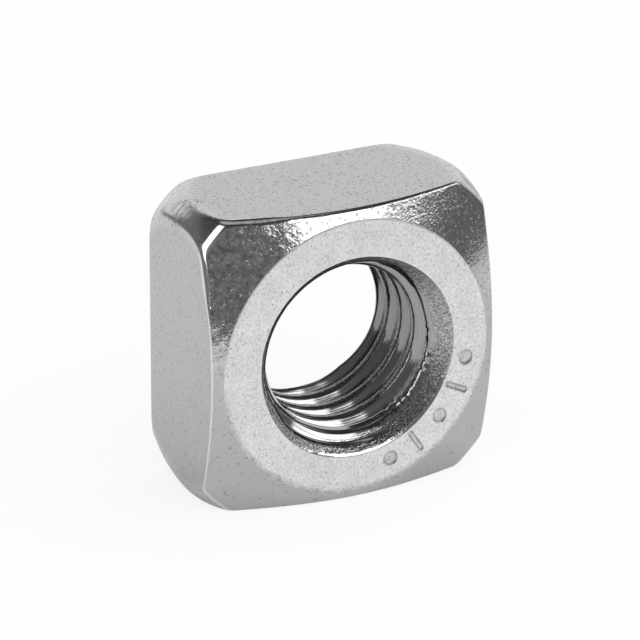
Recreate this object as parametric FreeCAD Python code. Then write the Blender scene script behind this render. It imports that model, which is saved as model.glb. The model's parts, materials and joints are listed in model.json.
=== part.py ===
import FreeCAD, Part
import math
import os

# Square nut with a metric coarse thread, in millimetres.
# The nut stands on one of its side flats. Its bore runs along Y, with the chamfered
# and marked face towards -Y and the plain bearing face towards +Y. Z points up.
# The origin is the middle of the bore.

# Forged blank
across_flats = 16.0
thickness = 8.0
corner_radius = 1.1
back_edge_radius = 0.25

# Chamfered face: a round land, and a cone that falls away to the corners
land_inset = 0.6
chamfer_angle = 26.0

# The corners are crowned: they pull in by this much towards each face
corner_relief_front = 0.53
corner_relief_back = 0.93
corner_crown_proud = 0.05

# Thread
thread_diameter = 10.0
pitch = 1.5
flank_angle = 60.0
minor_allowance = 0.22
root_allowance = 0.04
groove_phase = 1.47

# Countersinks at both mouths of the bore: a shallow one in the chamfered face, and a
# deeper one in the bearing face
front_countersink_lip = 0.4
front_countersink_angle = 107.0
back_countersink_lip = 0.5
back_countersink_angle = 90.0

# The bore wall is laid out in equal sectors
bore_sectors = 6

# How far a cutting form runs past the surface that it cuts
overrun = 0.4

X_AXIS = FreeCAD.Vector(1, 0, 0)
Z_AXIS = FreeCAD.Vector(0, 0, 1)
ORIGIN = FreeCAD.Vector(0, 0, 0)

# The nut is built with its bore along Z, and turned to lie along Y at the end.
z_front = -thickness / 2
z_back = thickness / 2

half_flats = across_flats / 2
land_radius = half_flats - land_inset
corner_reach = half_flats * math.sqrt(2) - corner_radius * (math.sqrt(2) - 1)

# The basic profile keeps five eighths of the sharp triangle's height, and has a flat
# of an eighth of the pitch at its root.
half_flank = math.radians(flank_angle / 2)
sharp_height = pitch / 2 / math.tan(half_flank)
basic_height = sharp_height * 5 / 8
basic_root_flat = pitch / 8
minor_radius = thread_diameter / 2 - basic_height + minor_allowance / 2
root_radius = thread_diameter / 2 + root_allowance


def point(radius, height):
    """A point of a section through the bore's axis."""
    return FreeCAD.Vector(radius, 0, height)


def forged_blank():
    """Square block with rounded corners and a small radius round its bearing face."""
    corner = FreeCAD.Vector(-half_flats, -half_flats, z_front)
    block = Part.makeBox(across_flats, across_flats, thickness, corner)
    upright = []
    for edge in block.Edges:
        if abs(edge.tangentAt(edge.FirstParameter).z) > 0.5:
            upright.append(edge)
    block = block.makeFillet(corner_radius, upright)
    around_back = []
    for edge in block.Edges:
        if abs(edge.CenterOfMass.z - z_back) < 0.001:
            around_back.append(edge)
    return block.makeFillet(back_edge_radius, around_back)


def turned_envelope():
    """Round form that leaves the land, the corner chamfer and the crowned corners."""
    front_radius = corner_reach - corner_relief_front
    back_radius = corner_reach - corner_relief_back
    chamfer_depth = (front_radius - land_radius) * math.tan(math.radians(chamfer_angle))
    land_edge = point(land_radius, z_front)
    chamfer_end = point(front_radius, z_front + chamfer_depth)
    crown_top = point(corner_reach + corner_crown_proud, 0)
    crown_end = point(back_radius, z_back)
    section = Part.Wire([
        Part.makeLine(point(0, z_front), land_edge),
        Part.makeLine(land_edge, chamfer_end),
        Part.Arc(chamfer_end, crown_top, crown_end).toShape(),
        Part.makeLine(crown_end, point(0, z_back)),
        Part.makeLine(point(0, z_back), point(0, z_front)),
    ])
    return Part.Face(section).revolve(ORIGIN, Z_AXIS, 360)


def bore_core():
    """The plain bore at the thread's minor diameter."""
    step = 2 * math.pi / bore_sectors
    arcs = []
    for sector in range(bore_sectors):
        ends = []
        for share in (0.0, 0.5, 1.0):
            angle = (sector + share) * step
            x = minor_radius * math.cos(angle)
            y = minor_radius * math.sin(angle)
            ends.append(FreeCAD.Vector(x, y, z_front - overrun))
        arcs.append(Part.Arc(ends[0], ends[1], ends[2]).toShape())
    length = thickness + 2 * overrun
    return Part.Face(Part.Wire(arcs)).extrude(Z_AXIS * length)


def countersink(z_face, inward, lip, angle):
    """Cone at one mouth of the bore; inward is the direction into the nut."""
    slope = math.tan(math.radians(angle / 2))
    mouth_radius = thread_diameter / 2 + lip
    inner_radius = minor_radius - overrun
    depth = (mouth_radius - inner_radius) / slope
    section = Part.makePolygon([
        point(0, z_face - inward * overrun),
        point(mouth_radius + overrun * slope, z_face - inward * overrun),
        point(inner_radius, z_face + inward * depth),
        point(0, z_face + inward * depth),
        point(0, z_face - inward * overrun),
    ])
    return Part.Face(section).revolve(ORIGIN, Z_AXIS, 360)


def thread_groove():
    """Right-hand helical groove, with a flat root and flanks at the flank angle."""
    root_width = basic_root_flat - 2 * root_allowance * math.tan(half_flank)
    open_radius = minor_radius - overrun / 2
    open_width = root_width + 2 * (root_radius - open_radius) * math.tan(half_flank)
    turns = math.ceil(thickness / pitch) + 4
    z_start = z_front + groove_phase - 2 * pitch
    section = Part.makePolygon([
        point(open_radius, z_start - open_width / 2),
        point(root_radius, z_start - root_width / 2),
        point(root_radius, z_start + root_width / 2),
        point(open_radius, z_start + open_width / 2),
        point(open_radius, z_start - open_width / 2),
    ])
    path = []
    for turn in range(turns):
        helix = Part.makeHelix(pitch, pitch, minor_radius)
        helix.translate(Z_AXIS * (z_start + turn * pitch))
        path.extend(helix.Edges)
    return Part.Wire(path).makePipeShell([section], True, True)


def square_nut():
    """The whole nut, with its bore along Y."""
    nut = forged_blank().common(turned_envelope())
    nut = nut.cut(bore_core())
    nut = nut.cut(countersink(z_front, 1, front_countersink_lip, front_countersink_angle))
    nut = nut.cut(countersink(z_back, -1, back_countersink_lip, back_countersink_angle))
    nut = nut.cut(thread_groove())
    nut.rotate(ORIGIN, X_AXIS, -90)
    if len(nut.Solids) != 1:
        raise ValueError("the nut is not one solid")
    return nut.Solids[0]


os.makedirs("parts", exist_ok=True)
nut = square_nut()
nut.exportStep("parts/nut.step")
box = nut.optimalBoundingBox()
print("nut valid", nut.isValid(), "volume", round(nut.Volume, 2), "faces", len(nut.Faces))
print("size", round(box.XLength, 3), round(box.YLength, 3), round(box.ZLength, 3))
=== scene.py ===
import json
import math

import bpy
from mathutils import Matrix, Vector


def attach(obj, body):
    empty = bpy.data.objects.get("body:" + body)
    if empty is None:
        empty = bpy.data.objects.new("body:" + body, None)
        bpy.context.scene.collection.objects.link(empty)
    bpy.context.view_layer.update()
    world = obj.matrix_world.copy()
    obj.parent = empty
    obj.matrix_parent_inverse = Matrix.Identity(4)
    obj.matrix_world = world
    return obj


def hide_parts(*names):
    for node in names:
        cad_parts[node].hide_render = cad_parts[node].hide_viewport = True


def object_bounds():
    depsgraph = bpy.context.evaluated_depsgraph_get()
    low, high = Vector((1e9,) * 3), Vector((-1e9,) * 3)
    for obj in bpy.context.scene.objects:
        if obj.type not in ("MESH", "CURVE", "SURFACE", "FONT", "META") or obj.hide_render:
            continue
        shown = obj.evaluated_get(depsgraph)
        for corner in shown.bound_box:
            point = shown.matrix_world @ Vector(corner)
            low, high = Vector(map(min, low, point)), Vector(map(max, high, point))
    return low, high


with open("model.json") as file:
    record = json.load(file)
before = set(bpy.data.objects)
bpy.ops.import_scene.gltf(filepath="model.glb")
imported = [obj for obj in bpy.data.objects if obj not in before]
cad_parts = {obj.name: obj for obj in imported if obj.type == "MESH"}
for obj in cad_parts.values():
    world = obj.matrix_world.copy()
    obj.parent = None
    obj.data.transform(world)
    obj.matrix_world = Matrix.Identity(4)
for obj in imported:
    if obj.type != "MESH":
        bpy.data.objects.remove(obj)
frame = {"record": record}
CAD_LOW, CAD_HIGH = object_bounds()

MM = 0.001
DEGREE = math.pi / 180

# Sizes that the frame gives. The bore runs along Y, and the chamfered face looks to -Y.
THREAD_MOUNT = next(m for m in frame["record"]["mounts"] if m["name"] == "thread")
HALF_FLATS = (CAD_HIGH.x - CAD_LOW.x) / 2
FRONT = CAD_LOW.y
BACK = CAD_HIGH.y
FLOOR_HEIGHT = CAD_LOW.z
MINOR_RADIUS = THREAD_MOUNT["dims"]["r_mm"] * MM

# Forged body
CORNERS = 4
CORNER_RADIUS = 1.1 * MM
BACK_EDGE = 0.25 * MM
LAND_RADIUS = HALF_FLATS - 0.6 * MM
CHAMFER_ANGLE = 26 * DEGREE
CORNER_REACH = HALF_FLATS * math.sqrt(2) - CORNER_RADIUS * (math.sqrt(2) - 1)
CROWN_FRONT = CORNER_REACH - 0.53 * MM
CROWN_MIDDLE = CORNER_REACH + 0.05 * MM
CROWN_BACK = CORNER_REACH - 0.93 * MM
FRONT_SINK_RADIUS = 5.4 * MM
FRONT_SINK_SLOPE = math.tan(53.5 * DEGREE)
BACK_SINK_RADIUS = 5.5 * MM
BACK_SINK_SLOPE = math.tan(45 * DEGREE)

# Thread
PITCH = 1.5 * MM
ROOT_RADIUS = 5.04 * MM
ROOT_FLAT = 0.26 * MM
GROOVE_PHASE = 1.47 * MM
FLANK_SLOPE = 1 / math.tan(30 * DEGREE)
ROOT_ROUND = 0.05 * MM
CREST_ROUND = 0.035 * MM

# Bell mouths, to which the thread's ends are worn. Each one leans: it is widest at its lean
# angle, which counts round from +X, and narrow on the side across from it. The fade is
# between cosines of the angle from the lean.
NARROW_BELL = 4.57 * MM
NARROW_BELL_SLOPE = 0.138
WIDE_BELL = 5.16 * MM
WIDE_BELL_SLOPE = 0.46
LEAN_ANGLE = 130 * DEGREE
BACK_BELL = 5.23 * MM
NARROW_BACK_BELL = 4.93 * MM
BACK_BELL_SLOPE = 0.6
BACK_LEAN_ANGLE = 40 * DEGREE
LEAN_FADE = (-0.5, 0.5)
SINK_ROUND = 0.05 * MM
MOUTH_ROUND = 0.04 * MM

# The front countersink is worn wider on the lower right, and bevelled where it meets the land.
# The sharpness is the share of the bevel's reach that is missing on the upper left.
SINK_SPREAD = 0.12 * MM
RIM_REACH = 0.05 * MM
RIM_DEPTH = 0.10 * MM
RIM_SHARPNESS = 0.95

# Rounded edges: how far each one reaches from the sharp edge. The land's edge is softer
# below, by the given number of times its own reach, and fades in between sines of the angle.
# The chamfer's is wide at one corner, and fades in between cosines of the angle from it. The
# crowns run softer towards the back.
LAND_EDGE = 0.06 * MM
SOFTER_BELOW = 3.0
BELOW_FADE = (-0.2, 0.6)
CHAMFER_EDGE = 0.15 * MM
CORNER_EDGE = 0.42 * MM
WORN_CORNER_ANGLE = 135 * DEGREE
WORN_CORNER_FADE = (0.92, 0.975)
FRONT_CROWN_EDGE = 0.20 * MM
BACK_CROWN_EDGE = 1.0 * MM
CROWN_FADE = (FRONT + 3.6 * MM, FRONT + 6.2 * MM)

# Torn metal and forging lumps: how wide they are, and how far they move the surface
TORN_WIDTH = 0.24 * MM
TORN_CONE = 0.016 * MM
TORN_FIRST_CREST = 0.10 * MM
TORN_CRESTS = 0.010 * MM
LUMP_WIDTH = 0.55 * MM
LEFT_LUMPS = 0.022 * MM
OTHER_LUMPS = 0.006 * MM

# Marks on the land: each one's angle in degrees from +X, and half the length of its bar in
# millimetres, which is 0 for a dot
MARKS = [(-72.0, 0.0), (-57.5, 0.55), (-41.4, 0.0), (-26.0, 0.55), (-11.0, 0.0)]
MARK_RADIUS = 6.4 * MM
MARK_DEPTH = 0.07 * MM
MARK_WALL = 0.10 * MM
DOT_RADIUS = 0.42 * MM
BAR_HALF_WIDTH = 0.17 * MM

# Mesh density: columns go round the bore and lie closer together near the corners, and rows
# run across each band of the surface.
COLUMNS = 448
COLUMN_BIAS = 0.35
ROWS_PER_TURN = 18
WELD = 0.001 * MM

# Each finish's plain tone, and how rough it is
LAND_TONE = 0.74
LAND_ROUGHNESS = 0.36
CHAMFER_TONE = 0.49
CHAMFER_ROUGHNESS = 0.12
# Tone of the painted highlight along the chamfer's rounded left edge
EDGE_HIGHLIGHT_TONE = 0.72
SIDE_TONE = 0.485
SIDE_ROUGHNESS = 0.20
THREAD_TONE = 0.36
THREAD_ROUGHNESS = 0.09
# Tone of the painted highlight on the lower part of the countersink's bevelled rim
RIM_HIGHLIGHT_TONE = 0.60

# Floor: how much of its look is plain white paper for the camera, and how much for the steel.
# The steel sees the paper as a sheet that is round in front and ends in a dark patch, which is
# painted shade that only the steel's reflections show. The sheet's middle and its fading edge
# are in millimetres.
PAPER_TONE = 0.95
FLOOR_WHITE = 0.85
SHEET_WHITE = 0.10
SHEET_X = 45.0
SHEET_Y = -10.0
SHEET_END = (84.0, 94.0)
DARK_REFLECTION_STRENGTH = 0.2

# The room that shows in the steel: how bright its parts are, where 1 is white. The ceiling's
# strength is added to the upper wall's.
SOFTBOX_STRENGTH = 3.2
SIDE_SOFTBOX_STRENGTH = 2.2
BACKDROP_STRENGTH = 1.0
WALL_STRENGTH = 0.20
UPPER_WALL_STRENGTH = 0.05
CEILING_STRENGTH = 0.40


class Field:
    """A number that a node tree works out at every point. The usual signs combine fields."""

    def __init__(self, tree, socket):
        self.tree = tree
        self.socket = socket

    def math(self, operation, *others):
        node = self.tree.nodes.new("ShaderNodeMath")
        node.operation = operation
        for slot, value in zip(node.inputs, (self,) + others):
            feed(self.tree, value, slot)
        return Field(self.tree, node.outputs[0])

    def __add__(self, other):
        return self.math("ADD", other)

    def __sub__(self, other):
        return self.math("SUBTRACT", other)

    def __mul__(self, other):
        return self.math("MULTIPLY", other)

    def __truediv__(self, other):
        return self.math("DIVIDE", other)

    def __neg__(self):
        return self * -1.0

    __radd__ = __add__
    __rmul__ = __mul__

    def __rsub__(self, other):
        return -self + other

    def __rtruediv__(self, other):
        return self.math("POWER", -1.0) * other


def feed(tree, value, slot):
    """Gives a node's input a field or a plain value."""
    if isinstance(value, Field):
        tree.links.new(value.socket, slot)
    else:
        slot.default_value = value


def new_node(tree, kind, **inputs):
    """A node with some of its inputs fed; an underscore in a name stands for a space."""
    made = tree.nodes.new(kind)
    for name, value in inputs.items():
        feed(tree, value, made.inputs[name.replace("_", " ")])
    return made


def switch(use_second, first, second):
    """The second field where use_second is 1, and the first where it is 0."""
    return first + (second - first) * use_second


def ramp(value, low, high):
    """0 at low, 1 at high, and a smooth step between them."""
    node = new_node(value.tree, "ShaderNodeMapRange", Value=value, From_Min=low, From_Max=high)
    node.interpolation_type = "SMOOTHSTEP"
    return Field(value.tree, node.outputs["Result"])


def fade(value, low, high):
    """1 at low, 0 at high, and a smooth step between them."""
    return 1 - ramp(value, low, high)


def held(value, low, high):
    """The value, kept between low and high."""
    return value.math("MINIMUM", high).math("MAXIMUM", low)


def vector(tree, x, y, z):
    return Field(tree, new_node(tree, "ShaderNodeCombineXYZ", X=x, Y=y, Z=z).outputs[0])


def split(place):
    """The three parts of a vector field."""
    node = new_node(place.tree, "ShaderNodeSeparateXYZ", Vector=place)
    return [Field(place.tree, out) for out in node.outputs]


def cloud_node(place, size, detail, rough):
    """Cloudy noise; size is a cloud's width."""
    return new_node(
        place.tree, "ShaderNodeTexNoise",
        Vector=place, Scale=1 / size, Detail=detail, Roughness=rough)


def noise(place, size, detail, rough):
    """Cloudy noise from -1 to 1, mostly within half of that."""
    return (Field(place.tree, cloud_node(place, size, detail, rough).outputs[0]) - 0.5) * 2


def three_noises(place, size, detail, rough):
    """Three cloudy noises that don't follow each other, each from -1 to 1."""
    parts = split(Field(place.tree, cloud_node(place, size, detail, rough).outputs["Color"]))
    return [(part - 0.5) * 2 for part in parts]


def circle_through(a, b, c):
    """Centre and radius of the circle through three points of a section."""
    (ax, ay), (bx, by), (cx, cy) = a, b, c
    d = 2 * (ax * (by - cy) + bx * (cy - ay) + cx * (ay - by))
    a2 = ax * ax + ay * ay
    b2 = bx * bx + by * by
    c2 = cx * cx + cy * cy
    ux = (a2 * (by - cy) + b2 * (cy - ay) + c2 * (ay - by)) / d
    uy = (a2 * (cx - bx) + b2 * (ax - cx) + c2 * (bx - ax)) / d
    return ux, uy, math.hypot(ax - ux, ay - uy)


def bend(first, control, last, share):
    """A point of the smooth bend from first to last that is drawn towards control."""
    rest = 1 - share
    return [
        rest * rest * a + rest * share * 2 * b + share * share * c
        for a, b, c in zip(first, control, last)
    ]


class NutTree:
    """The node tree that works out the nut's whole surface from its sizes."""

    def __init__(self):
        self.tree = bpy.data.node_groups.new("square_nut", "GeometryNodeTree")
        self.tree.is_modifier = True
        self.values = {}
        self.entry = self.tree.nodes.new("NodeGroupInput")
        self.columns = self.size("Columns", COLUMNS + 1, "NodeSocketInt")
        self.bias = self.size("Column bias", COLUMN_BIAS)

    def size(self, name, value, kind="NodeSocketFloat"):
        """A named input of the tree, used as a field."""
        item = self.tree.interface.new_socket(name, in_out="INPUT", socket_type=kind)
        self.values[item.identifier] = value
        return Field(self.tree, self.entry.outputs[name])

    def position(self):
        """The place of each point."""
        return Field(self.tree, self.tree.nodes.new("GeometryNodeInputPosition").outputs[0])

    def through(self, kind, shape, **inputs):
        """A node that the shape runs into, with its other inputs fed."""
        node = new_node(self.tree, kind, **inputs)
        self.tree.links.new(shape, node.inputs["Geometry"])
        return node

    def band(self, rows, place, finish):
        """A strip of surface all the way round the bore, `rows` points wide.

        place(angle, share) gives the strip's radius and height along the bore, where
        share runs from 0 to 1 across the strip. So that all faces point outwards, share
        runs the same way round the section in every strip: out across the front, back
        along the sides, in across the back, and forward through the bore. finish is the
        number of the strip's material.
        """
        grid = new_node(
            self.tree, "GeometryNodeMeshGrid",
            Size_X=1.0, Size_Y=1.0, Vertices_X=self.columns, Vertices_Y=rows)
        across, up, _ = split(self.position())
        even = across * 2 * math.pi
        angle = even + (even * CORNERS).math("SINE") * (self.bias / CORNERS)
        radius, along = place(angle, 0.5 - up)
        store = self.through("GeometryNodeStoreNamedAttribute", grid.outputs["Mesh"])
        store.data_type = "INT"
        store.domain = "FACE"
        store.inputs["Name"].default_value = "finish"
        store.inputs["Value"].default_value = finish
        x, z = radius * angle.math("COSINE"), radius * angle.math("SINE")
        return self.moved(store.outputs["Geometry"], vector(self.tree, x, along, z))

    def moved(self, shape, place):
        """The shape with its points put at another place."""
        node = self.through("GeometryNodeSetPosition", shape, Position=place)
        return node.outputs["Geometry"]

    def welded(self, strips):
        """The strips joined to one surface, whose points are welded where strips meet."""
        joined = self.tree.nodes.new("GeometryNodeJoinGeometry")
        for strip in strips:
            self.tree.links.new(strip, joined.inputs["Geometry"])
        weld = self.through("GeometryNodeMergeByDistance", joined.outputs[0], Distance=WELD)
        return weld.outputs["Geometry"]

    def painted(self, shape, materials):
        """The shape as one real, smooth mesh, where each strip's number picks its material."""
        smooth = self.through("GeometryNodeSetShadeSmooth", shape)
        shape = self.through("GeometryNodeRealizeInstances", smooth.outputs[0]).outputs[0]
        number = self.tree.nodes.new("GeometryNodeInputNamedAttribute")
        number.data_type = "INT"
        number.inputs["Name"].default_value = "finish"
        for index, material in enumerate(materials):
            same = self.tree.nodes.new("FunctionNodeCompare")
            same.data_type = "INT"
            same.operation = "EQUAL"
            self.tree.links.new(number.outputs["Attribute"], same.inputs["A"])
            same.inputs["B"].default_value = index
            paint = self.through("GeometryNodeSetMaterial", shape, Material=material)
            self.tree.links.new(same.outputs["Result"], paint.inputs["Selection"])
            shape = paint.outputs["Geometry"]
        return shape

    def mesh(self, shape):
        """Ends the tree with the shape, runs it on an empty object and returns the mesh."""
        self.tree.interface.new_socket(
            "Geometry", in_out="OUTPUT", socket_type="NodeSocketGeometry")
        self.through("NodeGroupOutput", shape)
        carrier = bpy.data.objects.new("nut_carrier", bpy.data.meshes.new("nut_carrier"))
        bpy.context.scene.collection.objects.link(carrier)
        modifier = carrier.modifiers.new("square_nut", "NODES")
        modifier.node_group = self.tree
        for identifier, value in self.values.items():
            modifier[identifier] = value
        settled = carrier.evaluated_get(bpy.context.evaluated_depsgraph_get())
        mesh = bpy.data.meshes.new_from_object(settled)
        bpy.data.objects.remove(carrier)
        if mesh.materials[0] is None:
            # The new grids had no material, which leaves an empty slot in front.
            mesh.materials.pop(index=0)
        return mesh


def nut_surface(finishes):
    """The nut's surface as a plain mesh. finishes gives its materials by their names."""
    t = NutTree()
    half = t.size("Half across flats", HALF_FLATS)
    corner = t.size("Corner radius", CORNER_RADIUS)
    front = t.size("Front face", FRONT)
    back = t.size("Back face", BACK)
    land = t.size("Land radius", LAND_RADIUS)
    slope = t.size("Chamfer slope", math.tan(CHAMFER_ANGLE))
    sink = t.size("Front countersink radius", FRONT_SINK_RADIUS)
    sink_slope = t.size("Front countersink slope", FRONT_SINK_SLOPE)
    back_sink = t.size("Back countersink radius", BACK_SINK_RADIUS)
    back_sink_slope = t.size("Back countersink slope", BACK_SINK_SLOPE)
    narrow_bell = t.size("Narrow bell radius", NARROW_BELL)
    narrow_slope = t.size("Narrow bell slope", NARROW_BELL_SLOPE)
    wide_bell = t.size("Wide bell radius", WIDE_BELL)
    wide_slope = t.size("Wide bell slope", WIDE_BELL_SLOPE)
    lean = t.size("Bell lean angle", LEAN_ANGLE)
    back_bell = t.size("Back bell radius", BACK_BELL)
    narrow_back_bell = t.size("Narrow back bell radius", NARROW_BACK_BELL)
    back_bell_slope = t.size("Back bell slope", BACK_BELL_SLOPE)
    back_lean = t.size("Back bell lean angle", BACK_LEAN_ANGLE)
    sink_spread = t.size("Front countersink wear", SINK_SPREAD)
    rim_reach = t.size("Rim wear on the land", RIM_REACH)
    rim_depth = t.size("Rim wear in the countersink", RIM_DEPTH)
    land_edge = t.size("Land edge", LAND_EDGE)
    flat_edge = t.size("Chamfer edge", CHAMFER_EDGE)
    corner_edge = t.size("Chamfer edge at the worn corner", CORNER_EDGE)
    front_crown_edge = t.size("Crown edge in front", FRONT_CROWN_EDGE)
    back_crown_edge = t.size("Crown edge at the back", BACK_CROWN_EDGE)
    back_edge = t.size("Back edge", BACK_EDGE)
    mark_radius = t.size("Mark radius", MARK_RADIUS)
    mark_depth = t.size("Mark depth", MARK_DEPTH)
    minor = t.size("Minor radius", MINOR_RADIUS)
    root = t.size("Root radius", ROOT_RADIUS)
    root_flat = t.size("Root flat", ROOT_FLAT)
    pitch = t.size("Pitch", PITCH)
    groove = t.size("Groove start", FRONT + GROOVE_PHASE)
    crown_end = FRONT + (CROWN_FRONT - LAND_RADIUS) * math.tan(CHAMFER_ANGLE)
    crown = circle_through((CROWN_FRONT, crown_end), (CROWN_MIDDLE, 0), (CROWN_BACK, BACK))
    crown_axis = t.size("Crown centre radius", crown[0])
    crown_along = t.size("Crown centre height", crown[1])
    crown_radius = t.size("Crown radius", crown[2])
    cosine = (slope * slope + 1).math("INVERSE_SQRT")
    sine = slope * cosine

    def square(angle):
        """Radius of the square with rounded corners."""
        c = angle.math("COSINE").math("ABSOLUTE")
        s = angle.math("SINE").math("ABSOLUTE")
        longer = c.math("MAXIMUM", s)
        shorter = c.math("MINIMUM", s)
        inner = half - corner
        middle = inner * (longer + shorter)
        arc = middle + (middle * middle - inner * inner * 2 + corner * corner).math("SQRT")
        on_arc = (half * shorter / longer).math("GREATER_THAN", inner)
        return switch(on_arc, half / longer, arc)

    def side(angle, along):
        """Radius of the side flats and of the crowned corners between them."""
        offset = along - crown_along
        crowned = crown_axis + (crown_radius * crown_radius - offset * offset).math("SQRT")
        edge = switch(ramp(along, *CROWN_FADE), front_crown_edge, back_crown_edge)
        return square(angle).math("SMOOTH_MIN", crowned, edge)

    def chamfer_end(angle):
        """Where the cone meets the side: its radius, its height and its worn width.

        The radius is found in two steps from a first guess.
        """
        radius = half * 1.15
        for _ in range(2):
            radius = side(angle, front + (radius - land) * slope)
        worn_corner = ramp((angle - WORN_CORNER_ANGLE).math("COSINE"), *WORN_CORNER_FADE)
        width = switch(worn_corner, flat_edge, corner_edge)
        return radius, front + (radius - land) * slope, width

    def mark_recess(angle, radius):
        """How deep the row of plain dots and bars is stamped into the land."""
        recess = None
        for mark_angle, half_length in MARKS:
            sideways = (angle - mark_angle * DEGREE) * radius
            outwards = (radius - mark_radius).math("ABSOLUTE")
            beyond = (outwards - half_length * MM).math("MAXIMUM", 0.0)
            distance = (sideways * sideways + beyond * beyond).math("SQRT")
            width = BAR_HALF_WIDTH if half_length else DOT_RADIUS
            stamped = fade(distance, width - MARK_WALL, width)
            recess = stamped if recess is None else recess + stamped
        return recess * mark_depth

    def leaning(angle, towards):
        """1 on the side of the bore that a bell mouth leans to, 0 on the side across."""
        return ramp((angle - towards).math("COSINE"), *LEAN_FADE)

    def worn_sink(angle, depth):
        """Radius of the countersink, which is worn wider across from the front lean."""
        return sink + sink_spread * (1 - leaning(angle, lean)) - depth * sink_slope

    def rim_start(angle):
        """Where the countersink's bevelled rim leaves the land. It is sharp at the lean."""
        return worn_sink(angle, 0.0) + rim_reach * (1 - leaning(angle, lean) * RIM_SHARPNESS)

    def land_wear(angle):
        """How far the land's edge is rounded each way."""
        return land_edge * (1 + ramp(-angle.math("SINE"), *BELOW_FADE) * SOFTER_BELOW)

    def land_place(angle, share):
        start = rim_start(angle)
        radius = start + (land - land_wear(angle) - start) * share
        return radius, front + mark_recess(angle, radius)

    def land_edge_place(angle, share):
        wear = land_wear(angle)
        last = land + wear * cosine, front + wear * sine
        return bend((land - wear, front), (land, front), last, share)

    def chamfer_place(angle, share):
        end_radius, _, edge = chamfer_end(angle)
        start = land + land_wear(angle) * cosine
        radius = start + (end_radius - edge * cosine - start) * share
        return radius, front + (radius - land) * slope

    def chamfer_edge_place(angle, share):
        end_radius, end_along, edge = chamfer_end(angle)
        first = end_radius - edge * cosine, end_along - edge * sine
        last_along = end_along + edge
        last = side(angle, last_along), last_along
        return bend(first, (end_radius, end_along), last, share)

    def side_place(angle, share):
        _, end_along, edge = chamfer_end(angle)
        start = end_along + edge
        along = start + (back - back_edge - start) * share
        return side(angle, along), along

    def back_edge_place(angle, share):
        first = side(angle, back - back_edge), back - back_edge
        last = first[0] - back_edge, back
        return bend(first, (first[0], back), last, share)

    def back_place(angle, share):
        start = side(angle, back - back_edge) - back_edge
        return start + (back_sink - start) * share, back

    def rim_place(angle, share):
        first = worn_sink(angle, rim_depth), front + rim_depth
        last = rim_start(angle), front
        return [a + (b - a) * share for a, b in zip(first, last)]

    bore_rows = math.ceil((BACK - FRONT + PITCH) / PITCH * ROWS_PER_TURN) + 1

    def bore_place(angle, share):
        """The thread and both mouths. The rows follow the thread's helix."""
        turn = angle / (2 * math.pi)
        step = ((1 - share) * (bore_rows - 1)).math("ROUND")
        helix = front - pitch / 2 + step * pitch / ROWS_PER_TURN
        along = held(helix - turn * pitch, front + rim_depth, back)
        phase = (along - groove) / pitch + turn
        distance = (phase - phase.math("ROUND")).math("ABSOLUTE") * pitch
        flank = root - (distance - root_flat / 2) * FLANK_SLOPE
        groove_wall = flank.math("SMOOTH_MIN", root, ROOT_ROUND)
        wall = groove_wall.math("SMOOTH_MAX", minor, CREST_ROUND)
        depth = along - front
        wide = leaning(angle, lean)
        bell_slope = switch(wide, narrow_slope, wide_slope)
        bell = switch(wide, narrow_bell, wide_bell) - depth * bell_slope
        front_mouth = worn_sink(angle, depth).math("SMOOTH_MAX", bell, SINK_ROUND)
        height = back - along
        wide = leaning(angle, back_lean)
        bell = switch(wide, narrow_back_bell, back_bell) - height * back_bell_slope
        back_mouth = (back_sink - height * back_sink_slope).math("MAXIMUM", bell)
        mouth = front_mouth.math("MAXIMUM", back_mouth)
        return wall.math("SMOOTH_MAX", mouth, MOUTH_ROUND), along

    def worn_place():
        """Where each point of the new nut lies on the forged and used one."""
        spot = t.position()
        x, along, z = split(spot)
        radius = (x * x + z * z).math("SQRT")
        depth = along - front
        rim = FRONT_SINK_RADIUS
        cone = ramp(radius - (sink - depth * sink_slope), -0.10 * MM, -0.03 * MM)
        cone = cone * fade(depth, 0.30 * MM, 0.48 * MM)
        cone = cone * fade(radius, rim + 0.02 * MM, rim + 0.15 * MM)
        lower_right = ramp(x, 0.5 * MM, 2.5 * MM) * fade(z, 0.0, 1.5 * MM)
        first_crest = fade(radius, 4.60 * MM, 4.80 * MM) * fade(depth, 1.2 * MM, 1.5 * MM)
        crests = fade(radius, MINOR_RADIUS + 0.04 * MM, MINOR_RADIUS + 0.2 * MM)
        forged = ramp(radius, LAND_RADIUS + 0.1 * MM, LAND_RADIUS + 0.5 * MM)
        forged = forged * fade(radius, CROWN_FRONT - 0.65 * MM, CROWN_FRONT - 0.40 * MM)
        forged = forged * fade(depth - (radius - land) * slope, 0.0, 0.04 * MM)
        torn = three_noises(spot, TORN_WIDTH, detail=2.0, rough=0.6)
        lump = three_noises(spot, LUMP_WIDTH, detail=2.0, rough=0.6)
        torn_by = (
            cone * TORN_CONE + first_crest * lower_right * TORN_FIRST_CREST
            + crests * TORN_CRESTS)
        lump_by = forged * switch(ramp(x, -4.0 * MM, -2.0 * MM), LEFT_LUMPS, OTHER_LUMPS)
        x, along, z = [
            part + a * torn_by + b * lump_by
            for part, a, b in zip((x, along, z), torn, lump)
        ]
        # The worn surface stays inside the forged body's box.
        x, along, z = held(x, -half, half), held(along, front, back), held(z, -half, half)
        return vector(t.tree, x, along, z)

    # The bands of the surface: how many rows of points each one has, its place and its finish
    bands = [
        (36, land_place, "land_steel"),
        (7, land_edge_place, "land_steel"),
        (26, chamfer_place, "chamfer_steel"),
        (7, chamfer_edge_place, "chamfer_steel"),
        (20, side_place, "side_steel"),
        (5, back_edge_place, "side_steel"),
        (4, back_place, "side_steel"),
        (6, rim_place, "thread_steel"),
        (bore_rows, bore_place, "thread_steel"),
    ]
    names = list(finishes)
    strips = [t.band(rows, place, names.index(finish)) for rows, place, finish in bands]
    worn = t.moved(t.welded(strips), worn_place())
    return t.mesh(t.painted(worn, finishes.values()))


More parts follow.
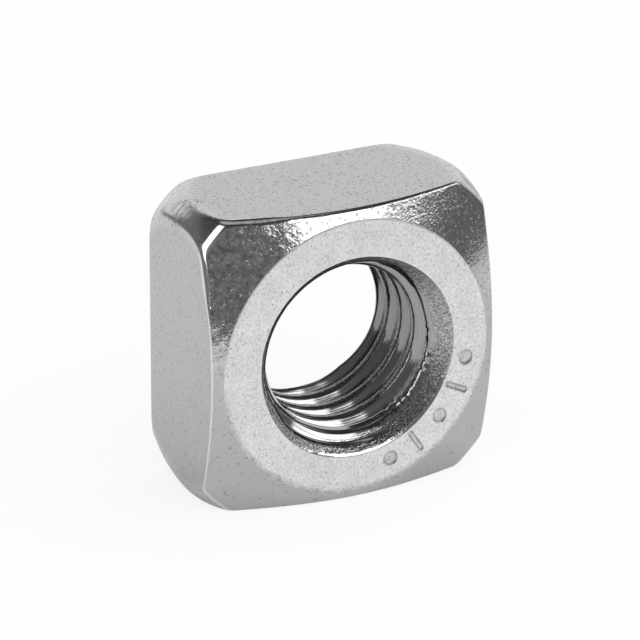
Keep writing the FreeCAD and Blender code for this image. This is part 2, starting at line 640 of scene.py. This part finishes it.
class Effect:
    """A shader node group with a place and named values as inputs, and named outputs.

    Lengths in it are millimetres.
    """

    def __init__(self, name, values, outputs, build):
        self.tree = bpy.data.node_groups.new(name, "ShaderNodeTree")
        sockets = self.tree.interface
        sockets.new_socket("Place", in_out="INPUT", socket_type="NodeSocketVector")
        for label, value in values.items():
            made = sockets.new_socket(label, in_out="INPUT", socket_type="NodeSocketFloat")
            made.default_value = value
        for label in outputs:
            sockets.new_socket(label, in_out="OUTPUT", socket_type="NodeSocketFloat")
        entry = self.tree.nodes.new("NodeGroupInput")
        end = self.tree.nodes.new("NodeGroupOutput")
        fields = [Field(self.tree, entry.outputs[label]) for label in ("Place", *values)]
        for label, field in zip(outputs, build(*fields)):
            feed(self.tree, field, end.inputs[label])

    def placed(self, place, **values):
        """The group's outputs in a material, with its inputs fed by their names."""
        node = place.tree.nodes.new("ShaderNodeGroup")
        node.node_tree = self.tree
        for label, value in {"Place": place, **values}.items():
            feed(place.tree, value, node.inputs[label])
        return [Field(place.tree, out) for out in node.outputs]


def build_grain(place, size, height):
    """Rounded grains: their height, and a tone from -1 to 1."""
    grain = noise(place, size, detail=2.0, rough=0.55)
    return grain * height, grain


def build_pits(place, size, share, depth):
    """Small ragged pits where a noise of the given size runs high."""
    peaks = noise(place, size, detail=1.5, rough=0.6)
    hole = ramp(peaks, 0.40 - share, 0.52 - share)
    return hole, hole * depth * -1.0


def build_scratches(place, width, length, share, depth):
    """Short straight scratches along the place's third axis."""
    x, y, z = split(place)
    stretched = vector(place.tree, x / width, y / width, z / length)
    peaks = noise(stretched, 1.0, detail=1.0, rough=0.5)
    line = ramp(peaks, 0.40 - share, 0.50 - share)
    return line, line * depth * -1.0


GRAIN = Effect("steel_grain", {"Size": 0.1, "Height": 0.001}, ["Height", "Tone"], build_grain)
PITS = Effect(
    "steel_pits", {"Size": 0.2, "Share": 0.2, "Depth": 0.01}, ["Mask", "Height"], build_pits)
SCRATCHES = Effect(
    "steel_scratches", {"Width": 0.05, "Length": 0.8, "Share": 0.3, "Depth": 0.002},
    ["Mask", "Height"], build_scratches)


def nut_place(tree):
    """Where a point of the nut lies, in millimetres.

    It gives the place from the nut's middle, the distance from the bore's axis, the depth
    behind the front face, and a place for streaks that run round the bore.
    """
    coordinates = tree.nodes.new("ShaderNodeTexCoord")
    x, y, z = split(Field(tree, coordinates.outputs["Object"]))
    x, y, z = x / MM, y / MM, z / MM
    radius = (x * x + z * z).math("SQRT")
    streaks = vector(tree, x / radius * 0.9, radius * 9 + y * 0.4, z / radius * 0.9)
    return vector(tree, x, y, z), radius, y - FRONT / MM, streaks


def turned(place, x_turn, y_turn, z_turn):
    """The place turned by three angles in degrees, to lay a pattern along another line."""
    node = new_node(place.tree, "ShaderNodeMapping", Vector=place)
    node.inputs["Rotation"].default_value = [a * DEGREE for a in (x_turn, y_turn, z_turn)]
    return Field(place.tree, node.outputs[0])


def steel(name, finish):
    """A bare steel finish. finish gives its tone, its roughness and its relief."""
    material = bpy.data.materials.new(name)
    material.use_nodes = True
    tree = material.node_tree
    shader = tree.nodes["Principled BSDF"]
    shader.inputs["Metallic"].default_value = 1.0
    tone, roughness, relief = finish(*nut_place(tree))
    feed(tree, tone, shader.inputs["Base Color"])
    feed(tree, roughness, shader.inputs["Roughness"])
    bump = new_node(tree, "ShaderNodeBump", Height=relief, Distance=MM)
    tree.links.new(bump.outputs["Normal"], shader.inputs["Normal"])
    return material


def land_finish(place, radius, depth, streaks):
    """Pale and grainy, with marks whose recesses are darkened by painted shade. Its worn edge
    below takes the chamfer's tone.
    """
    grain, cloud = GRAIN.placed(place, Size=0.16, Height=0.0026)
    _, wide_cloud = GRAIN.placed(place, Size=0.9)
    pit, pit_relief = PITS.placed(place, Size=0.13, Share=0.16, Depth=0.006)
    _, _, z = split(place)
    # Painted shade in the stamped recesses: darkest on their walls, less on their floors.
    mark_floor = ramp(depth, 0.052, 0.068)
    stamped = ramp(depth, 0.004, 0.02) * (1 - mark_floor * 0.65) * fade(radius, 7.13, 7.2)
    land_end = LAND_RADIUS / MM
    worn = ramp(radius, land_end - 0.20, land_end + 0.20) * fade(z, -3.0, 1.0)
    tone = switch(worn, LAND_TONE, CHAMFER_TONE) + cloud * 0.28 + wide_cloud * 0.10
    tone = tone * (1 - pit * 0.34) * (1 - stamped * 0.50)
    return tone, (LAND_ROUGHNESS + cloud * 0.10) * (1 - worn * 0.6), grain + pit_relief


def chamfer_finish(place, radius, depth, streaks):
    """Forged steel that is rougher at its top corners, with blotches at the left one. It also
    has painted light: a painted sheen at the upper left, painted shade at the lower right, and
    a painted highlight along its rounded left edge.
    """
    x, _, z = split(place)
    upper = ramp(z, -1.0, 3.0)
    right = ramp(x, 1.2, 3.6)
    left = fade(x, -4.2, -1.6)
    bent = ramp(depth - (radius - LAND_RADIUS / MM) * math.tan(CHAMFER_ANGLE), 0.01, 0.05)
    forged = (1 - bent) * fade(radius, CROWN_FRONT / MM - 0.6, CROWN_FRONT / MM - 0.4)
    rougher = (0.26 + upper * (left * 0.60 + right * 0.56 - 0.12)) * forged
    grain, cloud = GRAIN.placed(place, Size=0.15, Height=0.0075)
    blotch, blotch_cloud = GRAIN.placed(place, Size=0.34, Height=0.0090)
    pit, pit_relief = PITS.placed(place, Size=0.20, Share=0.13, Depth=0.008)
    # Painted light: a painted sheen at the upper left and painted shade at the lower right.
    tone = CHAMFER_TONE + left * upper * 0.06 - right * (1 - upper) * 0.04
    tone = tone + (cloud * 0.28 + blotch_cloud * left * 0.42) * upper
    tone = tone * (1 - pit * 0.30 * forged)
    # A painted highlight: the chamfer's rounded edge is painted lighter on the left side.
    painted_edge_highlight = bent * fade(x, -6.5, -5.5)
    relief = (grain + blotch * left) * rougher + pit_relief * forged
    return switch(painted_edge_highlight, tone, EDGE_HIGHLIGHT_TONE), CHAMFER_ROUGHNESS + cloud * 0.04, relief


def side_finish(place, radius, depth, streaks):
    """Smooth and pitted, with scratches on the top flat and tool marks at its left corner, and
    a painted sheen on its crowned corners.
    """
    x, y, z = split(place)
    grain, cloud = GRAIN.placed(place, Size=0.10, Height=0.0008)
    pit, pit_relief = PITS.placed(place, Size=0.13, Share=0.15, Depth=0.006)
    scratch, scratch_relief = SCRATCHES.placed(
        turned(place, 90, 0, 35), Width=0.09, Length=0.30, Share=0.11, Depth=0.002)
    hatch, hatch_relief = SCRATCHES.placed(
        turned(place, 0, -45, 0), Width=0.10, Length=3.0, Share=0.34, Depth=0.004)
    across, along, up = x + 7.4, y - 0.7, z - 7.4
    hatched = fade(across * across + up * up + along * along, 0.4, 1.5)
    top = ramp(z, 7.0, 7.9)
    # A painted sheen: the crowned corners are painted lighter.
    crowned = ramp(radius - (CROWN_MIDDLE / MM - y * y * 0.062), -0.6, -0.2)
    tone = (SIDE_TONE + cloud * 0.08) * (1 - pit * 0.45) * (1 - scratch * top * 0.25)
    tone = tone * (1 - hatch * hatched * 0.45) * (1 + crowned * 0.18)
    relief = grain + pit_relief * (0.4 + top * 0.6)
    relief = relief + scratch_relief * top + hatch_relief * hatched
    return tone, SIDE_ROUGHNESS + cloud * 0.04, relief


def thread_finish(place, radius, depth, streaks):
    """Turned steel, torn on the crests and in the front mouth. A painted highlight lightens
    the lower part of the mouth's bevelled rim, and painted shade darkens the bore deep inside
    on the right and the mouth's upper part.
    """
    x, _, z = split(place)
    minor = MINOR_RADIUS / MM
    crests = fade(radius, minor + 0.02, minor + 0.07)
    past_cone = radius - (FRONT_SINK_RADIUS / MM - depth * FRONT_SINK_SLOPE)
    mouth = fade(depth, 0.45, 0.7) * ramp(past_cone, -0.14, -0.04)
    # A painted highlight: the lower part of the bevelled rim is painted lighter.
    rim = mouth * ramp(past_cone, 0.122, 0.135) * fade(z, -3.0, -1.0)
    rough = crests.math("MAXIMUM", mouth) * (1 - rim * 0.85)
    # Painted shade: darker deep inside the bore on the right, and in the upper part of the
    # front mouth.
    painted_shade_inside = ramp(x, 1.0, 3.6) * ramp(depth, 0.8, 4.0) * 0.25
    painted_shade_in_mouth = ramp(z, 1.5, 4.5) * mouth * 0.60
    lines, streak = GRAIN.placed(streaks, Size=0.5, Height=0.002)
    torn, cloud = GRAIN.placed(place, Size=0.11, Height=0.014)
    tone = (THREAD_TONE + streak * 0.12 - crests * 0.12) * (1 + cloud * rough * 1.5)
    tone = tone * (1 - (painted_shade_inside + painted_shade_in_mouth))
    return switch(rim, tone, RIM_HIGHLIGHT_TONE), THREAD_ROUGHNESS + rough * 0.06, lines + torn * rough


def make_nut():
    finishes = {
        "land_steel": steel("land_steel", land_finish),
        "chamfer_steel": steel("chamfer_steel", chamfer_finish),
        "side_steel": steel("side_steel", side_finish),
        "thread_steel": steel("thread_steel", thread_finish),
    }
    mesh = nut_surface(finishes)
    mesh.name = "forged_nut"
    nut = bpy.data.objects.new("forged_nut", mesh)
    bpy.context.scene.collection.objects.link(nut)
    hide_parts("nut")
    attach(nut, "root")


def make_floor():
    """A plain pale floor. The camera sees it as white paper that keeps the nut's shadow.

    The steel sees a sheet of the same white paper, which is round in front and runs on behind
    the nut, and beyond it a painted dark patch: painted shade that only its reflections show,
    while the camera sees white there.
    """
    mesh = bpy.data.meshes.new("floor")
    reach = 2.0
    corners = [(-reach, -reach), (reach, -reach), (reach, reach), (-reach, reach)]
    mesh.from_pydata([(x, y, FLOOR_HEIGHT) for x, y in corners], [], [(0, 1, 2, 3)])
    floor = bpy.data.objects.new("floor", mesh)
    bpy.context.scene.collection.objects.link(floor)
    material = bpy.data.materials.new("floor_paper")
    material.use_nodes = True
    tree = material.node_tree
    paper = tree.nodes["Principled BSDF"]
    paper.inputs["Base Color"].default_value = (PAPER_TONE, PAPER_TONE, PAPER_TONE, 1)
    paper.inputs["Roughness"].default_value = 1.0
    paper.inputs["Specular IOR Level"].default_value = 0.0
    rays = tree.nodes.new("ShaderNodeLightPath")
    by_camera = Field(tree, rays.outputs["Is Camera Ray"])
    by_steel = Field(tree, rays.outputs["Is Glossy Ray"])
    coordinates = tree.nodes.new("ShaderNodeTexCoord")
    x, y, _ = split(Field(tree, coordinates.outputs["Object"]))
    x, y = x / MM - SHEET_X, (y / MM - SHEET_Y).math("MINIMUM", 0.0)
    # Painted shade seen only by the steel: beyond the sheet the floor glows dark in
    # reflections.
    dark_reflection = ramp((x * x + y * y).math("SQRT"), *SHEET_END) * by_steel
    strength = 1 - dark_reflection * (1 - DARK_REFLECTION_STRENGTH)
    glow = new_node(tree, "ShaderNodeEmission", Color=(1, 1, 1, 1), Strength=strength)
    share = (by_camera * FLOOR_WHITE + by_steel * SHEET_WHITE).math("MAXIMUM", dark_reflection)
    mix = new_node(tree, "ShaderNodeMixShader", Fac=share)
    tree.links.new(paper.outputs[0], mix.inputs[1])
    tree.links.new(glow.outputs[0], mix.inputs[2])
    tree.links.new(mix.outputs[0], tree.nodes["Material Output"].inputs["Surface"])
    mesh.materials.append(material)


def softbox(direction, azimuth, elevation, half_width, half_height, roll, edge):
    """Where a rectangular softbox shows: 1 inside it, 0 outside. All sizes are in degrees.

    azimuth counts from the front, -Y, towards +X. edge is how far the box's edges fade.
    """
    tree = direction.tree
    az, el, tilt = azimuth * DEGREE, elevation * DEGREE, roll * DEGREE
    forward = Vector((math.sin(az) * math.cos(el), -math.cos(az) * math.cos(el), math.sin(el)))
    level = Vector((math.cos(az), math.sin(az), 0.0))
    rise = level.cross(forward)
    right = level * math.cos(tilt) + rise * math.sin(tilt)
    up = rise * math.cos(tilt) - level * math.sin(tilt)

    def along(axis):
        node = new_node(tree, "ShaderNodeVectorMath")
        node.operation = "DOT_PRODUCT"
        feed(tree, direction, node.inputs[0])
        node.inputs[1].default_value = axis
        return Field(tree, node.outputs["Value"])

    ahead = along(forward)
    least_ahead = 0.01
    scale = ahead.math("MAXIMUM", least_ahead)
    u = (along(right) / scale).math("ABSOLUTE")
    v = (along(up) / scale).math("ABSOLUTE")
    wide, tall, soft = (math.tan(angle * DEGREE) for angle in (half_width, half_height, edge))
    inside = fade(u, wide - soft, wide + soft) * fade(v, tall - soft, tall + soft)
    return inside * ahead.math("GREATER_THAN", least_ahead)


def make_light():
    """A white studio: plain light all round, and a room that shows in the bare steel.

    In the room a white backdrop stands behind the nut on the right, two long softboxes hang
    in front of it, one stands on the left, and the walls are dark.
    """
    world = bpy.data.worlds.new("studio")
    bpy.context.scene.world = world
    world.use_nodes = True
    tree = world.node_tree
    coordinates = tree.nodes.new("ShaderNodeTexCoord")
    direction = Field(tree, coordinates.outputs["Generated"])
    x, y, z = split(direction)
    backdrop = ramp(x + y * 0.42, -0.07, 0.04) * ramp(y, -0.3, 0.0)
    backdrop = backdrop * fade(z - x * 0.3, 0.46, 0.54)
    walls = switch(ramp(z, 0.56, 0.70), WALL_STRENGTH, UPPER_WALL_STRENGTH)
    walls = walls + ramp(z, 0.90, 0.95) * CEILING_STRENGTH
    key = softbox(
        direction, azimuth=44, elevation=24.9,
        half_width=23, half_height=4.5, roll=22, edge=0.8)
    strip = softbox(
        direction, azimuth=19.5, elevation=25.6,
        half_width=16.5, half_height=3.6, roll=3, edge=0.8)
    side = softbox(
        direction, azimuth=-70, elevation=27,
        half_width=13, half_height=26, roll=0, edge=1.5)
    room = switch(backdrop, walls, BACKDROP_STRENGTH)
    room = switch(key.math("MAXIMUM", strip), room, SOFTBOX_STRENGTH)
    room = switch(side, room, SIDE_SOFTBOX_STRENGTH)
    rays = tree.nodes.new("ShaderNodeLightPath")
    by_camera = Field(tree, rays.outputs["Is Camera Ray"])
    by_steel = Field(tree, rays.outputs["Is Glossy Ray"])
    plain = switch(by_camera, 1 + x * 0.45 - y * 0.75, 1.0)
    feed(tree, switch(by_steel, plain, room), tree.nodes["Background"].inputs["Strength"])
    tree.nodes["Background"].inputs["Color"].default_value = (1, 1, 1, 1)


def make_camera():
    """The photograph's view: from the front, left of the bore's axis and above it."""
    azimuth = -26.09 * DEGREE
    elevation = 22.79 * DEGREE
    distance = 307.8 * MM
    target = Vector((-2.087 * MM, FRONT, 2.382 * MM))
    back = Vector((
        math.sin(azimuth) * math.cos(elevation),
        -math.cos(azimuth) * math.cos(elevation),
        math.sin(elevation),
    ))
    data = bpy.data.cameras.new("camera")
    data.lens = 341.0
    data.sensor_width = 36.0
    data.clip_start = 0.01
    data.clip_end = 10.0
    camera = bpy.data.objects.new("camera", data)
    camera.location = target + back * distance
    camera.rotation_mode = "QUATERNION"
    camera.rotation_quaternion = (-back).to_track_quat("-Z", "Y")
    bpy.context.scene.collection.objects.link(camera)
    bpy.context.scene.camera = camera


make_camera()
make_nut()
make_floor()
make_light()
bpy.context.scene.view_settings.view_transform = "Standard"
